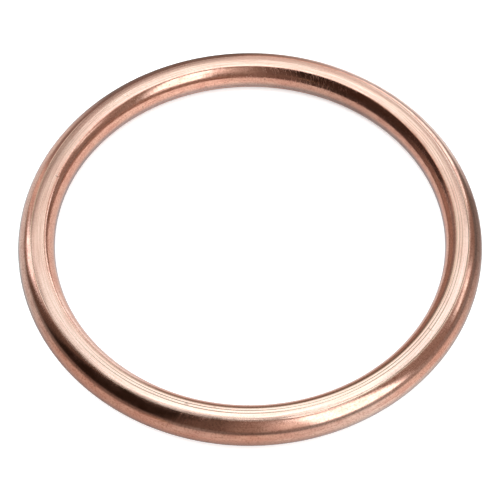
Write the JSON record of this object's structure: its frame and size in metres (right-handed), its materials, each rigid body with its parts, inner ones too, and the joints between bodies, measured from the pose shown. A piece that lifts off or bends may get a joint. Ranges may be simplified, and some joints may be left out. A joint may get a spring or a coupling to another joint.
{
  "type": "exhaust gasket",
  "caption": "Copper ring gasket for an exhaust port, with rounded walls and a flat, finely grooved seating land on each face.",
  "frame": {"origin": "middle of the underside, on the ring's axis", "axes": "+Z along the ring's axis, up from the face it lies on; +X and +Y in the plane of the underside"},
  "size_m": [0.045, 0.045, 0.0035],
  "materials": {
    "copper": null
  },
  "bodies": {
    "root": {"gasket_ring": "copper"}
  },
  "joints": []
}
